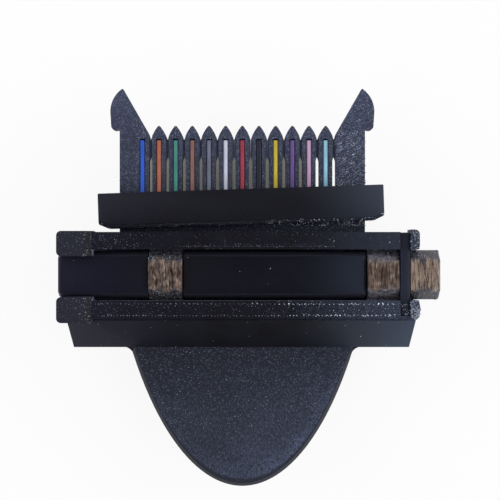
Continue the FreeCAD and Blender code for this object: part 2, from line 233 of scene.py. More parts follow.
PRINT_DARK = (0.0066, 0.0071, 0.0161, 1)
PRINT_PALE_GRAIN = (0.096, 0.114, 0.198, 1)
TONGUE_PALE_GRAIN = (0.092, 0.124, 0.215, 1)
PAINTED_GLINT_COLOUR = (0.155, 0.188, 0.265, 1)
RIM_LINE = (0.010, 0.010, 0.019, 1)
GRAIN_SIZE = 0.17 * MM
GRAIN_HEIGHT = 0.07 * MM
GRAIN_BUMP = 0.9
GRAIN_RANGE = (0.1, 1.2)
GRAIN_WEAR = (0.18, 1.25)
GRAIN_ROUGHNESS = (0.46, 0.30)
GRAIN_GLOSS = 0.18
SPECK_REACH = (0.05, 0.55)
SAND_CONTRAST = (0.38, 0.62)
SAND_FULL = 0.8
LAYER_SHARE = 0.12
PATCH_SIZE = 4.5 * MM
PATCH_CONTRAST = (0.35, 0.7)
PATCH_WEAR = (0.75, 1.1)
SPARK_CHANCE = (0.62, 1.0)
SPARK_Y = (17 * MM, 23 * MM)
SPARK_SHARE = (1.0, 0.4)
RIM_LINE_REACH = (0.952, 0.966)
RIM_LINE_SHARE = (0.0, 0.85)


def grained_print():
    """The faces that look up: sandy black, with painted light, shade and glints, and a dark line inside the
    tongue's rim.
    """
    finish, tree, shader, place = new_finish("grained_black_print")
    axes = parts(tree, place)
    cells = add(tree, "ShaderNodeTexVoronoi", {},
                {"Vector": place, "Scale": 1 / GRAIN_SIZE, "Randomness": 1.0}).outputs
    specks = spread(tree, cells["Distance"], *SPECK_REACH, 1.0, 0.0)
    sand = product(tree, specks, spread(tree, noise(tree, place, 2 * GRAIN_SIZE), *SAND_CONTRAST))
    grain = math_node(tree, "ADD", sand, grain_strokes(tree, place, axes))
    top = flat_top(tree)
    sides = product(tree, layer_lines(tree, place), LAYER_SHARE)
    bumped(tree, shader, math_node(tree, "ADD", product(tree, grain, top), sides), GRAIN_BUMP, GRAIN_HEIGHT)
    patches = spread(tree, noise(tree, place, PATCH_SIZE, 3.0), *PATCH_CONTRAST, *PATCH_WEAR)
    lit_patches = product(tree, patches, painted_light_share(tree, axes))
    grain_in_light = product(tree, spread(tree, grain, *GRAIN_RANGE, *GRAIN_WEAR), lit_patches)
    pale_grain = mixed_colour(tree, spread(tree, axes["Y"], *BAR_MIDDLE_Y), TONGUE_PALE_GRAIN, PRINT_PALE_GRAIN)
    body = mixed_colour(tree, grain_in_light, PRINT_DARK, pale_grain)
    # Painted glints: pale specks in random grain cells on the faces that look up, fewer towards the teeth.
    painted_glints = product(tree, spread(tree, parts(tree, cells["Color"])["X"], *SPARK_CHANCE), specks,
                     spread(tree, axes["Y"], *SPARK_Y, *SPARK_SHARE), top)
    grained = mixed_colour(tree, painted_glints, body, PAINTED_GLINT_COLOUR)
    line = spread(tree, tongue_reach(tree, axes), *RIM_LINE_REACH, *RIM_LINE_SHARE)
    surface(tree, shader, mixed_colour(tree, line, grained, RIM_LINE),
            spread(tree, sand, 0.0, SAND_FULL, *GRAIN_ROUGHNESS), GRAIN_GLOSS)
    return finish


# Painted light: the clip's ends get paler, bluer colours, where the side lights fall on them most strongly.
PAINTED_LIGHT_RIGHT = (0.041, 0.055, 0.087, 1)
PAINTED_LIGHT_LEFT = (0.0120, 0.0123, 0.0260, 1)
END_LIGHT_START_X = 7 * MM
END_LIGHT_FULL_X = 25 * MM
END_LIGHT_CURVE_RIGHT = 1.6
END_LIGHT_CURVE_LEFT = 1.3


def painted_end_light(tree, place, colour, share):
    """A colour with painted light, paler towards the right end of the clip, and a little at the left."""
    along = parts(tree, place)["X"]
    right = math_node(tree, "POWER", spread(tree, along, END_LIGHT_START_X, END_LIGHT_FULL_X), END_LIGHT_CURVE_RIGHT)
    left = math_node(tree, "POWER", spread(tree, along, -END_LIGHT_START_X, -END_LIGHT_FULL_X), END_LIGHT_CURVE_LEFT)
    colour = mixed_colour(tree, product(tree, right, share), colour, PAINTED_LIGHT_RIGHT)
    return mixed_colour(tree, product(tree, left, share), colour, PAINTED_LIGHT_LEFT)


SIDE_DARK = (0.0042, 0.0044, 0.0068, 1)
SIDE_SHEEN = (0.0075, 0.0080, 0.0125, 1)
SIDE_SAND_CONTRAST = (0.45, 0.70)
SIDE_SAND_X = (2 * MM, END_LIGHT_FULL_X)
SIDE_SAND_LEFT = 0.05
SIDE_ROUGHNESS = (0.42, 0.55)
SIDE_LAYER_SHARE = 0.4
SIDE_BUMP = 0.3
SIDE_BUMP_HEIGHT = 0.03 * MM
SIDE_GLOSS = 0.096


def smooth_side_print(name, grain_share, end_light_share, dark=SIDE_DARK, sheen=SIDE_SHEEN):
    """Sides, slopes and rails: matt black with fine layer lines, grain towards the right and painted light at
    the ends.
    """
    finish, tree, shader, place = new_finish(name)
    cloud = spread(tree, noise(tree, place, PATCH_SIZE, 3.0), *CLOUD_RANGE)
    black = painted_end_light(tree, place, mixed_colour(tree, cloud, dark, sheen), end_light_share)
    fine = noise(tree, place, GRAIN_SIZE)
    along = parts(tree, place)["X"]
    sand = product(tree, spread(tree, fine, *SIDE_SAND_CONTRAST),
                   spread(tree, along, *SIDE_SAND_X, SIDE_SAND_LEFT * grain_share, grain_share))
    surface(tree, shader, mixed_colour(tree, sand, black, PRINT_PALE_GRAIN),
            spread(tree, fine, *CLOUD_RANGE, *SIDE_ROUGHNESS), SIDE_GLOSS)
    height = math_node(tree, "ADD", product(tree, layer_lines(tree, place), SIDE_LAYER_SHARE), fine)
    bumped(tree, shader, height, SIDE_BUMP, SIDE_BUMP_HEIGHT)
    return finish


TOP_FACE = 0.9
RIM_NORMAL = 0.4
RIM_START_Y = TONGUE_ROOT_Y - 1 * MM
RAIL_FACE_Z = 17.0 * MM
RAIL_TOP = 18.1 * MM
RAIL_SKIN = 0.1 * MM
CHANNEL_HALF = 3.8 * MM
NECK_Y = (17.1 * MM, 20.0 * MM)
NECK_FLOOR_Z = (11.4 * MM, 11.6 * MM)


def is_side(face):
    return face.normal.z < TOP_FACE


def is_rim(face):
    return RIM_NORMAL < face.normal.z < TOP_FACE and face.center.y < RIM_START_Y


def is_rail(face):
    return face.center.z > RAIL_FACE_Z


def is_lower_rail(face):
    return is_rail(face) and face.center.y < 0


def is_ear(face):
    return face.center.z > RAIL_TOP + RAIL_SKIN and face.normal.z > TOP_FACE


def in_channel(face):
    return abs(face.center.y) < CHANNEL_HALF and face.normal.z < TOP_FACE and face.center.z < RAIL_TOP


def on_neck_floor(face):
    in_row = NECK_Y[0] < face.center.y < NECK_Y[1]
    return in_row and NECK_FLOOR_Z[0] < face.center.z < NECK_FLOOR_Z[1] and face.normal.z > TOP_FACE


def dress(mesh, finish, rule):
    """Gives another finish to the faces of a mesh that a rule picks."""
    mesh.materials.append(finish)
    for face in mesh.polygons:
        if rule(face):
            face.material_index = len(mesh.materials) - 1


def finished_piece(name, mesh, finish, body):
    """A new piece of the object, with its finish, riding on a body."""
    piece = bpy.data.objects.new(name, mesh)
    bpy.context.scene.collection.objects.link(piece)
    mesh.materials.clear()
    mesh.materials.append(finish)
    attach(piece, body)
    return piece


ROUNDING_ANGLE = math.radians(28)
ROUND_PROFILE = 0.6
MERGE_REACH = 0.002 * MM
FLAT_ANGLE = math.radians(0.4)


def softened_mesh(node, name, edge_round):
    """A merged copy of a solid's mesh, with its sharp edges rounded and its curved faces shaded smooth."""
    shape = bmesh.new()
    shape.from_mesh(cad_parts[node].data)
    bmesh.ops.remove_doubles(shape, verts=shape.verts, dist=MERGE_REACH)
    bmesh.ops.dissolve_limit(shape, angle_limit=FLAT_ANGLE, verts=shape.verts, edges=shape.edges)
    sharp = [edge for edge in shape.edges
             if edge.is_manifold and edge.calc_face_angle(0.0) > ROUNDING_ANGLE]
    bmesh.ops.bevel(shape, geom=sharp, offset=edge_round, segments=2, profile=ROUND_PROFILE, affect="EDGES",
                    clamp_overlap=True)
    bmesh.ops.triangulate(shape, faces=[face for face in shape.faces if len(face.verts) > 4])
    shape.verts.index_update()
    ranked = sorted(shape.faces, key=lambda face: sorted(vert.index for vert in face.verts))
    places = {face: place for place, face in enumerate(ranked)}
    shape.faces.sort(key=lambda face: places[face])  # triangulating leaves them in another order each run
    mesh = bpy.data.meshes.new(name)
    shape.to_mesh(mesh)
    shape.free()
    mesh.shade_smooth()
    mesh.set_sharp_from_angle(angle=ROUNDING_ANGLE)
    return mesh


def softened_piece(name, node, edge_round, finish, body):
    return finished_piece(name, softened_mesh(node, name, edge_round), finish, body)


FRONT_EDGE_ROUND = 0.11 * MM
RAIL_DARK = (0.0028, 0.0028, 0.0048, 1)
RAIL_SHEEN = (0.0060, 0.0060, 0.0115, 1)
EAR_SHEEN = (0.0225, 0.0240, 0.0350, 1)
# Painted highlight: the tongue's rim bevel gets its own colour, where it catches the side light.
RIM_HIGHLIGHT = (0.040, 0.043, 0.053, 1)
# Painted light: the channel's walls get a pale colour that lifts the shade between the rails.
CHANNEL_PAINTED_LIGHT = (0.090, 0.095, 0.135, 1)
# The floors of the slot necks get a paler colour.
NECK_PALE = (0.161, 0.182, 0.286, 1)
FRONT_FINISHES = (
    ("smooth_side_print", is_side, 0.0, 1.0, SIDE_DARK, SIDE_SHEEN),
    ("rim_highlight_print", is_rim, 0.0, 0.0, RIM_HIGHLIGHT, RIM_HIGHLIGHT),
    ("upper_rail_print", is_rail, 0.14, 0.52, RAIL_DARK, RAIL_SHEEN),
    ("lower_rail_print", is_lower_rail, 0.60, 0.66, RAIL_DARK, RAIL_SHEEN),
    ("rough_ear_print", is_ear, 0.30, 0.35, EAR_SHEEN, EAR_SHEEN),
    ("channel_painted_light_print", in_channel, 0.3, 0.0, CHANNEL_PAINTED_LIGHT, CHANNEL_PAINTED_LIGHT),
    ("pale_neck_print", on_neck_floor, 0.0, 0.0, NECK_PALE, NECK_PALE),
)

grained_black = grained_print()
front = softened_piece("printed_front", "front_body", FRONT_EDGE_ROUND, grained_black, "clip")
for finish_name, rule, grain_share, end_light_share, dark, sheen in FRONT_FINISHES:
    dress(front.data, smooth_side_print(finish_name, grain_share, end_light_share, dark, sheen), rule)
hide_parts("front_body")

# Grit on the front body: the nozzle leaves specks, squiggles and blobs of filament on the last layer.
# They are the same black filament, fused to the faces that look up, most with painted glints in their colour:
# specks on the comb, the tongue and the rails, strokes on the right horn, squiggles on the strip beside the
# keeper, and frays on the ears.
BLOB_CLOUD = 0.8 * MM
BLOB_CONTRAST = (0.40, 0.66)
GLINT_RISE_X = (0, 13 * MM)
BLOB_ROUGHNESS = (0.16, 0.32)
BLOB_DENT = 0.12 * MM
BLOB_DENT_HEIGHT = 0.02 * MM
BLOB_BUMP = 0.25


def glossy_blob_print(name, dull, pale, left_glint_share):
    """The filament where it cooled as a bare blob: glossy, with painted glints in patches, most at the right.
    """
    finish, tree, shader, place = new_finish(name)
    cloud = noise(tree, place, BLOB_CLOUD)
    along = parts(tree, place)["X"]
    painted_glint = product(tree, spread(tree, cloud, *BLOB_CONTRAST),
                       spread(tree, along, *GLINT_RISE_X, left_glint_share, 1.0))
    surface(tree, shader, mixed_colour(tree, painted_glint, dull, pale),
            spread(tree, cloud, *CLOUD_RANGE, *BLOB_ROUGHNESS))
    bumped(tree, shader, noise(tree, place, BLOB_DENT), BLOB_BUMP, BLOB_DENT_HEIGHT)
    return finish


PLATE_FRONT = 12.1 * MM
PLATE_SKIN = 0.05 * MM
STRIP_Y = (7.3 * MM, 8.9 * MM)
FRAYED_END_Y = -4.2 * MM
SPECKS_END_Y = -5.9 * MM
SLOPE_Y = (-10.5 * MM, -7.0 * MM)
SLOPE_NORMAL_Z = 0.2
SLOPE_NORMAL_Y = -0.3
HORN_STROKES_Y = (13.0 * MM, 21.5 * MM)
RIGHT_HORN_X = 13.6 * MM
LEFT_HORN_X = -16.0 * MM
TEETH_TOP_Y = 23.5 * MM
GLINTS_END_Y = -23.0 * MM
EAR_START_X = 24.5 * MM
EAR_RISE = 0.3 * MM
EAR_NORMAL = 0.3
LEFT_RAMP_X = -21.5 * MM
RAMP_NORMAL = 0.5
ROUGH_RAIL_X = -15.4 * MM


def on_comb_or_tongue(face, middle):
    return face.normal.z > TOP_FACE and PLATE_FRONT - PLATE_SKIN < middle.z < RAIL_FACE_Z


def on_strip(face, middle):
    """The part of the comb just below the keeper, after it is cut off there."""
    return on_comb_or_tongue(face, middle) and STRIP_Y[0] < middle.y < STRIP_Y[1]


def on_rail(face, middle):
    return face.normal.z > TOP_FACE and middle.z > RAIL_FACE_Z and middle.x < EAR_START_X


def on_upper_rail(face, middle):
    return on_rail(face, middle) and middle.y > 0


def on_left_upper_rail(face, middle):
    return on_upper_rail(face, middle) and LEFT_RAMP_X < middle.x < ROUGH_RAIL_X


def on_lower_rail(face, middle):
    return on_rail(face, middle) and SPECKS_END_Y < middle.y < 0


def on_right_ear(face, middle):
    return face.normal.z > EAR_NORMAL and middle.z > RAIL_TOP + EAR_RISE and middle.x > EAR_START_X


def on_upper_right_ear(face, middle):
    return on_right_ear(face, middle) and middle.y > 0


def on_lower_right_ear(face, middle):
    return on_right_ear(face, middle) and middle.y < 0


def on_left_ear(face, middle):
    return face.normal.z > TOP_FACE and middle.z > RAIL_TOP + RAIL_SKIN and middle.x < LEFT_RAMP_X


def on_left_ramp(face, middle):
    return RAMP_NORMAL < face.normal.z < TOP_FACE and middle.z > RAIL_TOP and middle.x < LEFT_RAMP_X


def on_low_right_horn(face, middle):
    in_rows = HORN_STROKES_Y[0] < middle.y < HORN_STROKES_Y[1]
    return on_comb_or_tongue(face, middle) and in_rows and middle.x > RIGHT_HORN_X


def on_high_right_horn(face, middle):
    return on_comb_or_tongue(face, middle) and middle.y > HORN_STROKES_Y[1] and middle.x > RIGHT_HORN_X


def on_teeth(face, middle):
    in_rows = HORN_STROKES_Y[0] < middle.y < TEETH_TOP_Y
    return on_comb_or_tongue(face, middle) and in_rows and LEFT_HORN_X < middle.x < RIGHT_HORN_X


def on_tongue_root(face, middle):
    return on_comb_or_tongue(face, middle) and GLINTS_END_Y < middle.y < TONGUE_ROOT_Y


def on_slope(face, middle):
    slopes = SLOPE_NORMAL_Z < face.normal.z < TOP_FACE and face.normal.y < SLOPE_NORMAL_Y
    return slopes and SLOPE_Y[0] < middle.y < SLOPE_Y[1]


CUT_ROWS_Y = (*STRIP_Y, FRAYED_END_Y, SPECKS_END_Y, *HORN_STROKES_Y, GLINTS_END_Y)
CUT_COLUMNS_X = (LEFT_HORN_X, RIGHT_HORN_X, ROUGH_RAIL_X)


def picked_faces(mesh, chosen):
    """A copy of the faces of a mesh that a rule picks, once it is cut along the edges of the patches."""
    shape = bmesh.new()
    shape.from_mesh(mesh)
    cuts = [((0, y, 0), (0, 1, 0)) for y in CUT_ROWS_Y]
    cuts += [((x, 0, 0), (1, 0, 0)) for x in CUT_COLUMNS_X]
    for point, normal in cuts:
        bmesh.ops.bisect_plane(shape, geom=shape.verts[:] + shape.edges[:] + shape.faces[:],
                               plane_co=point, plane_no=normal)
    dropped = [face for face in shape.faces if not chosen(face, face.calc_center_median())]
    bmesh.ops.delete(shape, geom=dropped, context="FACES")
    patch = bpy.data.meshes.new("grit_host")
    shape.to_mesh(patch)
    shape.free()
    return patch


def new_growth(name, inputs):
    """A geometry tree with named inputs, and its group input node."""
    tree = bpy.data.node_groups.new(name, "GeometryNodeTree")
    tree.interface.new_socket("Geometry", in_out="INPUT", socket_type="NodeSocketGeometry")
    for label, kind in inputs.items():
        tree.interface.new_socket(label, in_out="INPUT", socket_type="NodeSocket" + kind)
    tree.interface.new_socket("Geometry", in_out="OUTPUT", socket_type="NodeSocketGeometry")
    return tree, tree.nodes.new("NodeGroupInput").outputs


def close_growth(tree, instances, material):
    """Ends a tree: instances made real, shaded smooth and given their material."""
    real = add(tree, "GeometryNodeRealizeInstances", {}, {"Geometry": instances})
    smooth = add(tree, "GeometryNodeSetShadeSmooth", {}, {"Geometry": real.outputs[0]})
    dressed = add(tree, "GeometryNodeSetMaterial", {}, {"Geometry": smooth.outputs[0], "Material": material})
    add(tree, "NodeGroupOutput", {}, {"Geometry": dressed.outputs[0]})


def grown_mesh(name, tree, sizes, host=None):
    """Runs a geometry tree on a host mesh and returns the result as a plain mesh."""
    carrier = bpy.data.objects.new(name + "_carrier", host or bpy.data.meshes.new(name + "_empty"))
    bpy.context.scene.collection.objects.link(carrier)
    modifier = carrier.modifiers.new("growth", "NODES")
    modifier.node_group = tree
    for item in tree.interface.items_tree:
        if item.in_out == "INPUT" and item.name in sizes:
            modifier[item.identifier] = sizes[item.name]
    evaluated = carrier.evaluated_get(bpy.context.evaluated_depsgraph_get())
    mesh = bpy.data.meshes.new_from_object(evaluated)
    mesh.name = name
    bpy.data.objects.remove(carrier)
    return mesh


def grown_piece(name, tree, sizes, body, host=None):
    return finished_piece(name, grown_mesh(name, tree, sizes, host), sizes["Material"], body)


def random_vector(tree, low, high, seed):
    settings = {"data_type": "FLOAT_VECTOR"}
    return add(tree, "FunctionNodeRandomValue", settings, {0: low, 1: high, "Seed": seed}).outputs[0]


def grit_tree():
    """Scatters specks over a mesh, each with its own turn and its own three sizes."""
    tree, given = new_growth("print_grit", {"Spacing": "Float", "Density": "Float", "Smallest": "Vector",
                                            "Largest": "Vector", "Turn Low": "Vector", "Turn High": "Vector",
                                            "Seed": "Int", "Material": "Material"})
    points = add(tree, "GeometryNodeDistributePointsOnFaces", {"distribute_method": "POISSON"},
                 {"Mesh": given["Geometry"], "Distance Min": given["Spacing"],
                  "Density Max": given["Density"], "Seed": given["Seed"]})
    speck = add(tree, "GeometryNodeMeshIcoSphere", {}, {"Radius": 1.0, "Subdivisions": 1})
    turn = random_vector(tree, given["Turn Low"], given["Turn High"], given["Seed"])
    scale = random_vector(tree, given["Smallest"], given["Largest"], given["Seed"])
    specks = add(tree, "GeometryNodeInstanceOnPoints", {},
                 {"Points": points.outputs["Points"], "Instance": speck.outputs["Mesh"], "Rotation": turn,
                  "Scale": scale})
    close_growth(tree, specks.outputs[0], given["Material"])
    return tree


def strew(name, host, rule, body, finish, spacing, density, smallest, largest, seed, turns=(-180, 180)):
    """Strews grit over the faces of a host that a rule picks. Sizes are in millimetres, turns in degrees."""
    turn_low, turn_high = ((0, 0, math.radians(turn)) for turn in turns)
    grit_sizes = {"Spacing": spacing * MM, "Density": density / MM ** 2, "Seed": seed, "Material": finish,
                  "Turn Low": turn_low, "Turn High": turn_high,
                  "Smallest": tuple(size * MM for size in smallest),
                  "Largest": tuple(size * MM for size in largest)}
    grown_piece(name, print_grit, grit_sizes, body, picked_faces(host, rule))


# Painted glints: the pale colours of the blobs stand in for glints, and the brown of the left ramp frays is a
# painted reflection.
BLOB_DULL = (0.026, 0.030, 0.047, 1)
BLOB_GLINT = (0.740, 0.831, 0.950, 1)
FRAY_DULL = (0.084, 0.096, 0.140, 1)
FRAY_GLINT = (0.257, 0.299, 0.384, 1)
FRAY_SOFT_GLINT = (0.170, 0.198, 0.258, 1)
FRAY_DARK = (0.026, 0.025, 0.021, 1)
FRAY_BROWN_REFLECTION = (0.119, 0.117, 0.106, 1)
LEFT_GLINT_SHARE = 0.20
LOW_HORN_TURNS = (10, 60)
HIGH_HORN_TURNS = (-65, -15)
glint_blob = glossy_blob_print("painted_glint_blob", BLOB_DULL, BLOB_GLINT, LEFT_GLINT_SHARE)
brown_reflection_fray = glossy_blob_print("painted_brown_reflection_fray", FRAY_DARK, FRAY_BROWN_REFLECTION, 1.0)
grey_glint_fray = glossy_blob_print("painted_glint_fray", FRAY_DULL, FRAY_GLINT, 1.0)
soft_glint_fray = glossy_blob_print("soft_painted_glint_fray", FRAY_DULL, FRAY_SOFT_GLINT, 1.0)
dull_grey = glossy_blob_print("dull_grey_blob", PRINT_DARK, FRAY_DULL, 1.0)
print_grit = grit_tree()

# for each patch: its place and finish, the spacing and the number on a square millimetre, the smallest
# and largest sizes along, across and up, the seed, and the turns where they aren't free
GRIT_PATCHES = {
    "front_specks": (on_comb_or_tongue, grained_black, 0.40, 3.0,
                     (0.02, 0.02, 0.005), (0.09, 0.09, 0.024), 12),
    "strip_squiggles": (on_strip, glint_blob, 0.20, 18.0,
                        (0.06, 0.03, 0.03), (0.34, 0.09, 0.10), 21),
    "upper_rail_specks": (on_upper_rail, glint_blob, 0.50, 0.5,
                          (0.03, 0.03, 0.02), (0.09, 0.08, 0.05), 33),
    "upper_rail_grain": (on_upper_rail, dull_grey, 0.30, 1.6,
                         (0.03, 0.03, 0.02), (0.10, 0.09, 0.04), 35),
    "left_ear_specks": (on_left_ear, dull_grey, 0.24, 3.2,
                        (0.04, 0.04, 0.02), (0.17, 0.14, 0.05), 37),
    "left_rail_specks": (on_left_upper_rail, dull_grey, 0.24, 6.0,
                         (0.04, 0.04, 0.02), (0.15, 0.13, 0.06), 39),
    "lower_rail_specks": (on_lower_rail, glint_blob, 0.24, 4.2,
                          (0.02, 0.02, 0.02), (0.095, 0.08, 0.06), 45),
    "upper_right_ear_frays": (on_upper_right_ear, soft_glint_fray, 0.24, 12.0,
                              (0.08, 0.07, 0.01), (0.28, 0.22, 0.05), 57),
    "lower_right_ear_frays": (on_lower_right_ear, grey_glint_fray, 0.20, 24.0,
                              (0.11, 0.10, 0.03), (0.30, 0.22, 0.10), 63),
    "left_ramp_frays": (on_left_ramp, brown_reflection_fray, 0.24, 10.0,
                        (0.06, 0.06, 0.03), (0.26, 0.16, 0.12), 71),
    "slope_specks": (on_slope, glint_blob, 1.60, 0.08,
                     (0.05, 0.05, 0.03), (0.12, 0.09, 0.06), 77),
    "low_horn_strokes": (on_low_right_horn, grey_glint_fray, 0.20, 11.0,
                         (0.10, 0.04, 0.03), (0.36, 0.08, 0.06), 101, LOW_HORN_TURNS),
    "high_horn_strokes": (on_high_right_horn, grey_glint_fray, 0.26, 3.4,
                          (0.08, 0.04, 0.03), (0.30, 0.07, 0.05), 107, HIGH_HORN_TURNS),
    "horn_glints": (on_low_right_horn, glint_blob, 0.60, 0.7,
                    (0.05, 0.04, 0.03), (0.22, 0.07, 0.06), 131, LOW_HORN_TURNS),
    "tooth_specks": (on_teeth, grey_glint_fray, 0.18, 8.0,
                     (0.03, 0.03, 0.03), (0.11, 0.09, 0.07), 113),
    "tongue_glints": (on_tongue_root, grey_glint_fray, 0.40, 1.4,
                      (0.03, 0.03, 0.02), (0.10, 0.10, 0.06), 127),
}
for patch_name, (rule, *grit) in GRIT_PATCHES.items():
    strew(patch_name, front.data, rule, "clip", *grit)

# Rail beads: where the nozzle turned at the edges of the rails it left rows of small round blobs.
# They are bits of the body's own filament, shinier than the grain, with painted glints in their colour: rows
# along both edges of the lower rail, painted brightest at the right, and close, dull rows along the inner edge
# of the upper rail.
BEAD_DIM_GLINT = (0.260, 0.300, 0.380, 1)
BEAD_SCATTER = (0.11 * MM, 0.06 * MM, 0.02 * MM)
BEAD_SMALLEST = (0.55, 0.45, 0.3)
BEAD_LARGEST = (1.25, 1.0, 0.75)
bright_glint_bead = glossy_blob_print("bright_painted_glint_bead", BEAD_DIM_GLINT, BLOB_GLINT, LEFT_GLINT_SHARE)
# for each row: its place across, its start and end, the step and the radius in millimetres, seed and finish
BEAD_ROWS = {
    "inner": (-4.2, -21.0, 23.0, 0.66, 0.13, 3, glint_blob),
    "outer": (-5.95, -21.0, 23.0, 0.46, 0.12, 5, glint_blob),
    "inner_right": (-4.3, 5.5, 23.0, 0.72, 0.12, 14, bright_glint_bead),
    "outer_right": (-5.85, 9.0, 23.0, 0.66, 0.11, 17, bright_glint_bead),
    "upper": (4.2, -9.0, 14.0, 0.30, 0.12, 8, dull_grey),
    "upper_second": (4.5, -1.0, 14.0, 0.42, 0.10, 11, dull_grey),
}


def turned_back(tree, vector):
    """The same vector the other way round."""
    return add(tree, "ShaderNodeVectorMath", {"operation": "SCALE"}, {0: vector, "Scale": -1.0}).outputs[0]


def bead_tree():
    """A straight row of small blobs, each a little off its place and of its own size."""
    tree, given = new_growth("rail_beads", {"Start": "Vector", "Step": "Vector", "Count": "Int",
                                            "Bead Radius": "Float", "Scatter": "Vector", "Seed": "Int",
                                            "Material": "Material"})
    row = add(tree, "GeometryNodeMeshLine", {"mode": "OFFSET"},
              {"Count": given["Count"], "Start Location": given["Start"], "Offset": given["Step"]})
    shift = random_vector(tree, turned_back(tree, given["Scatter"]), given["Scatter"], given["Seed"])
    strewn = add(tree, "GeometryNodeSetPosition", {}, {"Geometry": row.outputs[0], "Offset": shift})
    bead = add(tree, "GeometryNodeMeshIcoSphere", {}, {"Radius": given["Bead Radius"], "Subdivisions": 1})
    scale = random_vector(tree, BEAD_SMALLEST, BEAD_LARGEST, given["Seed"])
    beads = add(tree, "GeometryNodeInstanceOnPoints", {},
                {"Points": strewn.outputs[0], "Instance": bead.outputs["Mesh"], "Scale": scale})
    close_growth(tree, beads.outputs[0], given["Material"])
    return tree


rail_beads = bead_tree()
for row_name, (row_y, start_x, end_x, step, radius, seed, finish) in BEAD_ROWS.items():
    bead_sizes = {"Start": (start_x * MM, row_y * MM, RAIL_TOP), "Step": (step * MM, 0, 0),
                  "Count": int((end_x - start_x) / step), "Bead Radius": radius * MM,
                  "Scatter": BEAD_SCATTER, "Seed": seed, "Material": finish}
    grown_piece("rail_beads_" + row_name, rail_beads, bead_sizes, "clip")

# Rear lever: the flat plate behind the clip, with the jaw, the tail and the two knuckles that turn on the pin.
# It is printed in a smooth satin black, with painted light at its ends. Its knuckles show as the barrel
# between the rails, with light painted on their sloping shoulders, which lie in shade there, and a few specks
# of filament stand on top.
SATIN_DARK = (0.0050, 0.0052, 0.0090, 1)
SATIN_SHEEN = (0.0072, 0.0078, 0.0138, 1)
SATIN_CLOUD = 7 * MM
SATIN_FINE = 0.25 * MM
SATIN_ROUGHNESS = (0.26, 0.34)
SATIN_LAYER_SHARE = 0.35
SATIN_BUMP = 0.2
SATIN_BUMP_HEIGHT = 0.012 * MM


def satin_print(name, gloss, end_light_share, dark=SATIN_DARK, sheen=SATIN_SHEEN):
    """Smooth black print with a soft sheen, and painted light that makes it paler at the ends."""
    finish, tree, shader, place = new_finish(name)
    cloud = spread(tree, noise(tree, place, SATIN_CLOUD, 3.0), *CLOUD_RANGE)
    black = painted_end_light(tree, place, mixed_colour(tree, cloud, dark, sheen), end_light_share)
    fine = noise(tree, place, SATIN_FINE)
    surface(tree, shader, black, spread(tree, fine, *CLOUD_RANGE, *SATIN_ROUGHNESS), gloss)
    height = math_node(tree, "ADD", product(tree, layer_lines(tree, place), SATIN_LAYER_SHARE), fine)
    bumped(tree, shader, height, SATIN_BUMP, SATIN_BUMP_HEIGHT)
    return finish


LEVER_EDGE_ROUND = 0.1 * MM
LEVER_GLOSS = 0.090
LEVER_END_LIGHT = 0.80
KNUCKLE_LOW_Z = 13.0 * MM
KNUCKLE_FLAT_HALF = 2.7 * MM
# Painted light: the knuckles' sloping shoulders, in shade between the rails, get a paler colour.
KNUCKLE_SHOULDER_LIGHT = (0.040, 0.042, 0.058, 1)
SHOULDER_GRAIN = 0.3
KNUCKLE_GRIT = (grey_glint_fray, 1.20, 0.03, (0.05, 0.04, 0.02), (0.13, 0.10, 0.05), 141)


def on_knuckle_shoulder(face):
    beside_flat = abs(face.center.y) > KNUCKLE_FLAT_HALF
    return face.center.z > KNUCKLE_LOW_Z and face.normal.z < TOP_FACE and beside_flat


def on_knuckle_top(face, middle):
    return face.normal.z > TOP_FACE and middle.z > KNUCKLE_LOW_Z


lever = softened_piece("printed_lever", "rear_lever", LEVER_EDGE_ROUND,
                       satin_print("lever_black_print", LEVER_GLOSS, LEVER_END_LIGHT), "lever")
shoulder_light_print = smooth_side_print("knuckle_shoulder_light_print", SHOULDER_GRAIN, 0.0, KNUCKLE_SHOULDER_LIGHT, KNUCKLE_SHOULDER_LIGHT)
dress(lever.data, shoulder_light_print, on_knuckle_shoulder)
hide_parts("rear_lever")
strew("knuckle_specks", lever.data, on_knuckle_top, "lever", *KNUCKLE_GRIT)

# Return spring: a coil of drawn steel wire between the tongue's peg and the round seat in the lever.
# Nothing but its own push holds it there.
WIRE_RADIUS = 0.3 * MM
COIL_TURNS = 5.0
COIL_RESOLUTION = 24
WIRE_SIDES = 10
WIRE_DARK = (0.36, 0.36, 0.37, 1)
WIRE_BRIGHT = (0.62, 0.62, 0.63, 1)
WIRE_LINES = (0.5 * MM, 0.5 * MM, 0.03 * MM)
WIRE_ROUGHNESS = (0.22, 0.38)
WIRE_BUMP = 0.2
WIRE_BUMP_HEIGHT = 0.01 * MM


def coil_tree():
    """A wire wound on a cylinder, from a spiral path and a round section."""
    tree, given = new_growth("spring_coil", {"Coil Radius": "Float", "Height": "Float", "Turns": "Float",
                                             "Wire Radius": "Float", "Foot": "Vector", "Material": "Material"})
    path = add(tree, "GeometryNodeCurveSpiral", {},
               {"Resolution": COIL_RESOLUTION, "Rotations": given["Turns"], "Height": given["Height"],
                "Start Radius": given["Coil Radius"], "End Radius": given["Coil Radius"]})
    section = add(tree, "GeometryNodeCurvePrimitiveCircle", {},
                  {"Resolution": WIRE_SIDES, "Radius": given["Wire Radius"]})
    wire = add(tree, "GeometryNodeCurveToMesh", {},
               {"Curve": path.outputs[0], "Profile Curve": section.outputs[0], "Fill Caps": True})
    placed = add(tree, "GeometryNodeTransform", {},
                 {"Geometry": wire.outputs[0], "Translation": given["Foot"]})
    close_growth(tree, placed.outputs[0], given["Material"])
    return tree


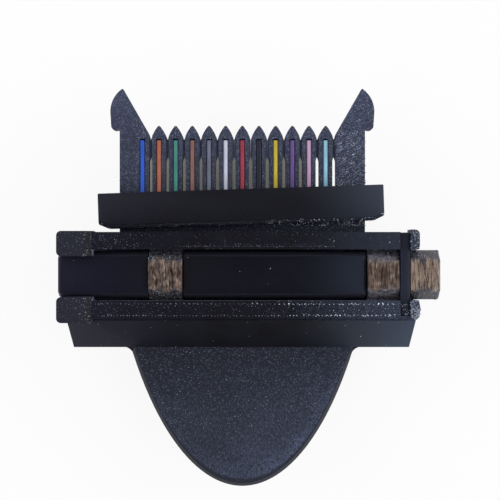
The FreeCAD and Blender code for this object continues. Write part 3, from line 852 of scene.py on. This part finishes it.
def drawn_wire():
    finish, tree, shader, place = new_finish("drawn_steel_wire")
    lines = noise(tree, stretched(tree, place, WIRE_LINES), 1.0)
    surface(tree, shader, mixed_colour(tree, lines, WIRE_DARK, WIRE_BRIGHT),
            spread(tree, lines, *CLOUD_RANGE, *WIRE_ROUGHNESS))
    shader.inputs["Metallic"].default_value = 1.0
    bumped(tree, shader, lines, WIRE_BUMP, WIRE_BUMP_HEIGHT)
    return finish


coil_low, coil_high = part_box("return_spring")
coil_radius = (coil_high[0] - coil_low[0]) / 2 - WIRE_RADIUS
coil_axis_y = (coil_low[1] + coil_high[1]) / 2
coil_sizes = {"Coil Radius": coil_radius, "Height": coil_high[2] - coil_low[2] - 2 * WIRE_RADIUS,
              "Turns": COIL_TURNS, "Wire Radius": WIRE_RADIUS,
              "Foot": (0, coil_axis_y, coil_low[2] + WIRE_RADIUS), "Material": drawn_wire()}
spring = grown_piece("steel_spring", coil_tree(), coil_sizes, "clip")
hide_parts("return_spring")
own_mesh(spring)

# Hinge pin and bearing blocks: the pin's head and the two blocks that hold the pin are bare brown filament.
# They were printed standing up, so rough brown threads run across their flat tops and end raggedly on the
# shoulders, which carry a painted grey highlight. The pin's shaft is black.
THREAD_GAP = (0.032, 0.0123, 0.0105, 1)
THREAD_BROWN = (0.101, 0.067, 0.052, 1)
THREAD_TAN = (0.281, 0.212, 0.170, 1)
# Painted highlight: the blocks' shoulders are coloured grey where they catch the light, paler on some blocks.
SHOULDER_DARK = (0.040, 0.036, 0.044, 1)
SHOULDER_HIGHLIGHT_TINT = (1.22, 1.16, 1.34)
FLAT_HALF = 2.1 * MM
RAGGED_REACH = 4.0 * MM
SHOULDER_REACH = (0.86 * FLAT_HALF, 1.14 * FLAT_HALF)
STREAK_TURN = math.radians(2)
STREAK_SHARE = 0.7
BLOTCH_SIZE = 0.7 * MM
BLOTCH_SHARE = 0.3
BLOTCH_CONTRAST = (0.30, 0.66)
DARK_STEP = 0.12
TAN_STEP = 0.14
BROWN_ROUGHNESS = (0.30, 0.55)
BROWN_BUMP = 0.8
BROWN_BUMP_HEIGHT = 0.10 * MM
BROWN_GLOSS = 0.32


def streaked_print(name, streak, tan_start, highlight_share):
    """Brown filament in streaks from nearly black to tan, with a painted grey highlight on its shoulders."""
    finish, tree, shader, place = new_finish(name)
    width, length = (size * MM for size in streak)
    streaks = noise(tree, stretched(tree, place, (width, length, length), STREAK_TURN), 1.0, 1.5, 0.6)
    blotches = noise(tree, place, BLOTCH_SIZE)
    mix = math_node(tree, "ADD", product(tree, streaks, STREAK_SHARE), product(tree, blotches, BLOTCH_SHARE))
    brown = mixed_colour(tree, spread(tree, mix, tan_start - DARK_STEP, tan_start), THREAD_GAP, THREAD_BROWN)
    brown = mixed_colour(tree, spread(tree, mix, tan_start, tan_start + TAN_STEP), brown, THREAD_TAN)
    across = parts(tree, place)["Y"]
    reach = add(tree, "ShaderNodeMath", {"operation": "ABSOLUTE"}, {0: across}).outputs[0]
    ragged = product(tree, math_node(tree, "SUBTRACT", mix, 0.5), RAGGED_REACH)
    shoulder = spread(tree, math_node(tree, "SUBTRACT", reach, ragged), *SHOULDER_REACH)
    highlight_tint = (*(part * highlight_share for part in SHOULDER_HIGHLIGHT_TINT), 1)
    shoulder_highlight = mixed_colour(tree, spread(tree, blotches, *BLOTCH_CONTRAST), SHOULDER_DARK, highlight_tint)
    surface(tree, shader, mixed_colour(tree, shoulder, brown, shoulder_highlight),
            spread(tree, blotches, *CLOUD_RANGE, *BROWN_ROUGHNESS), BROWN_GLOSS)
    bumped(tree, shader, mix, BROWN_BUMP, BROWN_BUMP_HEIGHT)
    return finish


THREAD_SIDES = 6
THREAD_STEPS = 12
WOBBLE_SIZE = 0.9 * MM


def thread_tree():
    """Threads laid side by side across a flat top, each leaning, slipped and bent a little differently."""
    tree, given = new_growth("block_threads", {"Start": "Vector", "Step": "Vector", "Count": "Int",
                                               "Length": "Float", "Thread Radius": "Float", "Slip": "Vector",
                                               "Turn": "Vector", "Wobble": "Float", "Seed": "Int",
                                               "Material": "Material"})
    half = product(tree, given["Length"], 0.5)
    back_half = product(tree, half, -1.0)
    path = add(tree, "GeometryNodeCurvePrimitiveLine", {},
               {"Start": add(tree, "ShaderNodeCombineXYZ", {}, {"Y": back_half}).outputs[0],
                "End": add(tree, "ShaderNodeCombineXYZ", {}, {"Y": half}).outputs[0]})
    steps = add(tree, "GeometryNodeResampleCurve", {}, {"Curve": path.outputs[0], "Count": THREAD_STEPS})
    section = add(tree, "GeometryNodeCurvePrimitiveCircle", {},
                  {"Resolution": THREAD_SIDES, "Radius": given["Thread Radius"]})
    thread = add(tree, "GeometryNodeCurveToMesh", {},
                 {"Curve": steps.outputs[0], "Profile Curve": section.outputs[0], "Fill Caps": True})
    row = add(tree, "GeometryNodeMeshLine", {"mode": "OFFSET"},
              {"Count": given["Count"], "Start Location": given["Start"], "Offset": given["Step"]})
    slip = random_vector(tree, turned_back(tree, given["Slip"]), given["Slip"], given["Seed"])
    slipped = add(tree, "GeometryNodeSetPosition", {}, {"Geometry": row.outputs[0], "Offset": slip})
    turn = random_vector(tree, turned_back(tree, given["Turn"]), given["Turn"], given["Seed"])
    threads = add(tree, "GeometryNodeInstanceOnPoints", {},
                  {"Points": slipped.outputs[0], "Instance": thread.outputs[0], "Rotation": turn})
    real = add(tree, "GeometryNodeRealizeInstances", {}, {"Geometry": threads.outputs[0]})
    cloud = add(tree, "ShaderNodeTexNoise", {}, {"Scale": 1 / WOBBLE_SIZE, "Detail": 1.0})
    centred = add(tree, "ShaderNodeVectorMath", {"operation": "SUBTRACT"},
                  {0: cloud.outputs["Color"], 1: (0.5, 0.5, 0.5)})
    bend = add(tree, "ShaderNodeVectorMath", {"operation": "SCALE"},
               {0: centred.outputs[0], "Scale": given["Wobble"]})
    bent = add(tree, "GeometryNodeSetPosition", {},
               {"Geometry": real.outputs[0], "Offset": bend.outputs[0]})
    close_growth(tree, bent.outputs[0], given["Material"])
    return tree


BROWN_EDGE_ROUND = 0.15 * MM
SHAFT_GLOSS = 0.15
HEAD_START_X = 24.65 * MM
SHOULDER_LOW_Z = 15.5 * MM
SHOULDER_NORMAL_Z = 0.2
SHOULDER_NORMAL_Y = 0.6
THREAD_LENGTH = 4.0 * MM
THREAD_SINK = 0.25
THREAD_SLIP_X = 0.05 * MM
THREAD_SLIP_Z = 0.06 * MM
BLOCK_GLINTS = (grey_glint_fray, 0.34, 4.0, (0.06, 0.05, 0.04), (0.28, 0.15, 0.13))
BLOCK_THREADS = {
    "left_bearing_block": {"step": 0.46, "radius": 0.24, "margin": 0.5, "lean": 5, "slip": 0.30,
                           "wobble": 0.6, "seed": 4, "streak": (0.55, 1.3), "tan": 0.52, "shoulder_highlight": 0.10},
    "right_bearing_block": {"step": 0.25, "radius": 0.11, "margin": 0.2, "lean": 2, "slip": 0.25,
                            "wobble": 0.4, "seed": 7, "streak": (0.30, 2.4), "tan": 0.53, "shoulder_highlight": 0.26},
    "hinge_pin": {"step": 0.24, "radius": 0.12, "margin": 0.2, "lean": 8, "slip": 0.30, "wobble": 0.6,
                  "seed": 9, "streak": (0.30, 2.4), "tan": 0.42, "shoulder_highlight": 0.070},
}


def on_block_shoulder(face, middle):
    slopes = face.normal.z > SHOULDER_NORMAL_Z and abs(face.normal.y) > SHOULDER_NORMAL_Y
    return slopes and middle.z > SHOULDER_LOW_Z


def on_shaft(face):
    return face.center.x < HEAD_START_X


shaft_black = satin_print("shaft_black_print", SHAFT_GLOSS, 0.0)
block_threads = thread_tree()
for node_name, threads in BLOCK_THREADS.items():
    streaked_brown = streaked_print("streaked_" + node_name, threads["streak"], threads["tan"],
                                    threads["shoulder_highlight"])
    block = softened_piece("printed_" + node_name, node_name, BROWN_EDGE_ROUND, streaked_brown, "clip")
    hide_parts(node_name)
    low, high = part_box(node_name)
    start_x = low[0]
    if node_name == "hinge_pin":
        start_x = HEAD_START_X
        dress(block.data, shaft_black, on_shaft)
    margin = threads["margin"] * MM
    start_x += margin
    step = threads["step"] * MM
    thread_radius = threads["radius"] * MM
    thread_sizes = {"Start": (start_x, 0, high[2] - THREAD_SINK * thread_radius), "Step": (step, 0, 0),
                    "Count": int((high[0] - margin - start_x) / step) + 1, "Length": THREAD_LENGTH,
                    "Thread Radius": thread_radius,
                    "Slip": (THREAD_SLIP_X, threads["slip"] * MM, THREAD_SLIP_Z),
                    "Turn": (0, 0, math.radians(threads["lean"])), "Wobble": threads["wobble"] * MM,
                    "Seed": threads["seed"], "Material": streaked_brown}
    grown_piece("threads_" + node_name, block_threads, thread_sizes, "clip")
    strew("glints_" + node_name, block.data, on_block_shoulder, "clip", *BLOCK_GLINTS, threads["seed"])

# Retaining clip: a forked plate of smooth black plastic that drops across both rails into the pin's groove.
# It holds the pin in place, and its lower end is frayed with bits of filament.
CLIP_EDGE_ROUND = 0.12 * MM
CLIP_DARK = (0.0131, 0.0158, 0.028, 1)
CLIP_SHEEN = (0.0179, 0.022, 0.038, 1)
CLIP_GLOSS = 0.19
CLIP_GRIT = {
    "clip_frays": (grey_glint_fray, 0.22, 14.0, (0.05, 0.05, 0.03), (0.19, 0.13, 0.09), 91),
    "clip_glints": (glint_blob, 0.40, 3.0, (0.04, 0.04, 0.06), (0.12, 0.09, 0.10), 97),
}


def on_frayed_end(face, middle):
    return face.normal.z > TOP_FACE and middle.y < FRAYED_END_Y


clip_black = satin_print("clip_black_print", CLIP_GLOSS, 0.0, CLIP_DARK, CLIP_SHEEN)
clip_plate = softened_piece("retaining_plate", "retaining_clip", CLIP_EDGE_ROUND, clip_black, "clip")
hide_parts("retaining_clip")
for patch_name, grit in CLIP_GRIT.items():
    strew(patch_name, clip_plate.data, on_frayed_end, "clip", *grit)

# Keeper: a loose sleeve of smooth black plastic that slides on the comb and holds the fibres in their slots.
# Its lower front edge was laid first and is rough with squiggles of filament.
KEEPER_EDGE_ROUND = 0.16 * MM
KEEPER_GLOSS = 0.245
KEEPER_END_LIGHT = 1.0
KEEPER_BEVEL_Z = 13.0 * MM
EDGE_NORMAL_Y = -0.3
EDGE_NORMAL_Z = 0.3
# Painted light: the keeper's lower side and bevel, in shade against the comb, get a paler colour.
EDGE_DARK = (0.026, 0.026, 0.038, 1)
EDGE_SHEEN = (0.040, 0.041, 0.057, 1)
EDGE_END_LIGHT = 0.5
KEEPER_SQUIGGLES = (glint_blob, 0.24, 9.0, (0.06, 0.03, 0.02), (0.30, 0.08, 0.07), 83)


def is_keeper_edge(face):
    return face.normal.y < EDGE_NORMAL_Y


def on_keeper_bevel(face, middle):
    return is_keeper_edge(face) and face.normal.z > EDGE_NORMAL_Z and middle.z > KEEPER_BEVEL_Z


keeper_black = satin_print("keeper_black_print", KEEPER_GLOSS, KEEPER_END_LIGHT)
keeper = softened_piece("keeper_sleeve", "keeper_bar", KEEPER_EDGE_ROUND, keeper_black, "keeper")
keeper_edge_light = satin_print("keeper_edge_painted_light", KEEPER_GLOSS, EDGE_END_LIGHT, EDGE_DARK, EDGE_SHEEN)
dress(keeper.data, keeper_edge_light, is_keeper_edge)
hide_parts("keeper_bar")
strew("keeper_squiggles", keeper.data, on_keeper_bevel, "keeper", *KEEPER_SQUIGGLES)

# Colour marks: twelve lengths of smooth filament in the fibre colours, from blue at the left to aqua.
# Each is pressed into a groove beside its slot, and tells which fibre goes there.
MARK_SHADES = {
    "blue": (0.025, 0.130, 0.782), "orange": (0.609, 0.175, 0.092), "green": (0.060, 0.318, 0.279),
    "brown": (0.316, 0.156, 0.147), "slate": (0.177, 0.195, 0.286), "white": (0.716, 0.753, 0.922),
    "red": (0.448, 0.042, 0.095), "black": (0.0085, 0.0095, 0.036), "yellow": (0.752, 0.571, 0.042),
    "violet": (0.173, 0.096, 0.363), "rose": (0.681, 0.415, 0.657), "aqua": (0.358, 0.727, 0.950),
}
# Painted shade: each mark is darkened towards its edges, where its round top turns away from the light above.
MARK_DULL = 0.60
MARK_BRIGHT = 0.84
MARK_EDGE_SHADE = 0.16
MARK_PATCH = (0.5 * MM, 2.5 * MM, 0.5 * MM)
MARK_CONTRAST = (0.3, 0.65)
MARK_LIT_NORMAL = (0.80, 0.985)
MARK_ROUGHNESS = (0.28, 0.42)
MARK_BUMP = 0.15
MARK_BUMP_HEIGHT = 0.02 * MM
MARK_GLOSS = 0.385


def filament(colour, shade):
    """Smooth coloured filament, a little darker in patches along its length, with painted shade at its edges.
    """
    finish, tree, shader, place = new_finish("filament_" + colour)
    along = noise(tree, stretched(tree, place, MARK_PATCH), 1.0)
    dull, bright, edge_shade = ((*(share * part for part in shade), 1)
                          for share in (MARK_DULL, MARK_BRIGHT, MARK_EDGE_SHADE))
    middle = mixed_colour(tree, spread(tree, along, *MARK_CONTRAST), dull, bright)
    normal = tree.nodes.new("ShaderNodeNewGeometry").outputs["Normal"]
    lit_top = spread(tree, parts(tree, normal)["Z"], *MARK_LIT_NORMAL)
    surface(tree, shader, mixed_colour(tree, lit_top, edge_shade, middle),
            spread(tree, along, *CLOUD_RANGE, *MARK_ROUGHNESS), MARK_GLOSS)
    bumped(tree, shader, along, MARK_BUMP, MARK_BUMP_HEIGHT)
    return finish


for colour, shade in MARK_SHADES.items():
    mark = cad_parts["colour_mark_" + colour]
    mark.data.materials.clear()
    mark.data.materials.append(filament(colour, shade))

# Table, light and camera: the clip lies on a pale table between two wide soft lights, one at each side.
# Nothing bright is above it, where the camera stands, so smooth faces stay black and grain catches the light.
FLOOR_HALF = 0.9
FLOOR_Z = -0.02 * MM
FLOOR_WHITE = (0.93, 0.93, 0.935, 1)
# Painted shadow: a darker colour and less glow on the table under the comb, seen through the slots.
FLOOR_SHADE = (0.36, 0.35, 0.30, 1)
FLOOR_GLOW = 0.88
FLOOR_ROUGHNESS = 0.9
SHADE_CENTRE = (-2.7 * MM, 9.0 * MM, 0)
SHADE_HALF = (12.2 * MM, 9.6 * MM)
SHADE_FADE = (2.2 * MM, 2.6 * MM)
SKY_DIM = 0.157
SKY_RIGHT = 1.65
SKY_LEFT = 1.145
SKY_WHITE = (1, 1, 1, 1)
SIDE_LIGHT_START = 0.08
SIDE_LIGHT_FULL = 0.60
CAMERA_PLACE = (1.15 * MM, 3.66 * MM, 242.1 * MM)
CAMERA_LENS = 110.4
CAMERA_NEAR = 0.01
LAMPS = {"right_lamp": ((0.26, 0.02, 0.13), (0.10, 0.10), 0.100),
         "far_lamp": ((0.02, 0.26, 0.08), (0.20, 0.05), 0.043),
         "left_lamp": ((-0.26, 0.05, 0.13), (0.10, 0.10), 0.072)}


def pale_table():
    """White laminate. The camera sees it evenly bright, apart from a shadow painted on it under the comb."""
    finish, tree, shader, place = new_finish("pale_table")
    shader.inputs["Roughness"].default_value = FLOOR_ROUGHNESS
    rays = tree.nodes.new("ShaderNodeLightPath").outputs
    seen = math_node(tree, "MAXIMUM", rays["Is Camera Ray"], rays["Is Glossy Ray"])
    seen = math_node(tree, "MAXIMUM", seen, rays["Is Transmission Ray"])
    offset = add(tree, "ShaderNodeVectorMath", {"operation": "SUBTRACT"}, {0: place, 1: SHADE_CENTRE})
    reach = add(tree, "ShaderNodeVectorMath", {"operation": "ABSOLUTE"}, {0: offset.outputs[0]})
    reach = parts(tree, reach.outputs[0])
    within = [spread(tree, reach[axis], half, half + fade, 1.0, 0.0)
              for axis, half, fade in zip("XY", SHADE_HALF, SHADE_FADE)]
    clear = math_node(tree, "SUBTRACT", 1.0, product(tree, *within))
    tree.links.new(mixed_colour(tree, clear, FLOOR_SHADE, FLOOR_WHITE), shader.inputs["Base Color"])
    share = product(tree, seen, product(tree, clear, FLOOR_GLOW))
    glow = add(tree, "ShaderNodeEmission", {}, {"Color": (1, 1, 1, 1), "Strength": 1.0})
    blend = add(tree, "ShaderNodeMixShader", {}, {0: share, 1: shader.outputs[0], 2: glow.outputs[0]})
    tree.links.new(blend.outputs[0], tree.nodes["Material Output"].inputs["Surface"])
    return finish


table_mesh = bpy.data.meshes.new("table_top")
corners = [(x * FLOOR_HALF, y * FLOOR_HALF, FLOOR_Z) for x, y in ((-1, -1), (1, -1), (1, 1), (-1, 1))]
table_mesh.from_pydata(corners, [], [(0, 1, 2, 3)])
table_mesh.materials.append(pale_table())
table_top = bpy.data.objects.new("table_top", table_mesh)
bpy.context.scene.collection.objects.link(table_top)

world = bpy.data.worlds.new("soft_sky")
bpy.context.scene.world = world
world.use_nodes = True
sky = world.node_tree
direction = sky.nodes.new("ShaderNodeTexCoord").outputs["Generated"]
sideways = parts(sky, direction)["X"]
right = spread(sky, sideways, SIDE_LIGHT_START, SIDE_LIGHT_FULL, SKY_DIM, SKY_RIGHT)
left = spread(sky, sideways, -SIDE_LIGHT_START, -SIDE_LIGHT_FULL, 0.0, SKY_LEFT)
sky.links.new(math_node(sky, "ADD", right, left), sky.nodes["Background"].inputs["Strength"])
sky.nodes["Background"].inputs["Color"].default_value = SKY_WHITE

for lamp_name, (place, size, power) in LAMPS.items():
    lamp = bpy.data.lights.new(lamp_name, "AREA")
    lamp.shape = "RECTANGLE"
    lamp.size, lamp.size_y = size
    lamp.energy = power
    lamp_object = bpy.data.objects.new(lamp_name, lamp)
    lamp_object.location = place
    aim = -lamp_object.location
    lamp_object.rotation_euler = aim.to_track_quat("-Z", "Y").to_euler()
    bpy.context.scene.collection.objects.link(lamp_object)

camera = bpy.data.cameras.new("overhead_camera")
camera.lens = CAMERA_LENS
camera.clip_start = CAMERA_NEAR
camera_object = bpy.data.objects.new("overhead_camera", camera)
camera_object.location = CAMERA_PLACE
bpy.context.scene.collection.objects.link(camera_object)
bpy.context.scene.camera = camera_object
bpy.context.scene.view_settings.view_transform = "Standard"
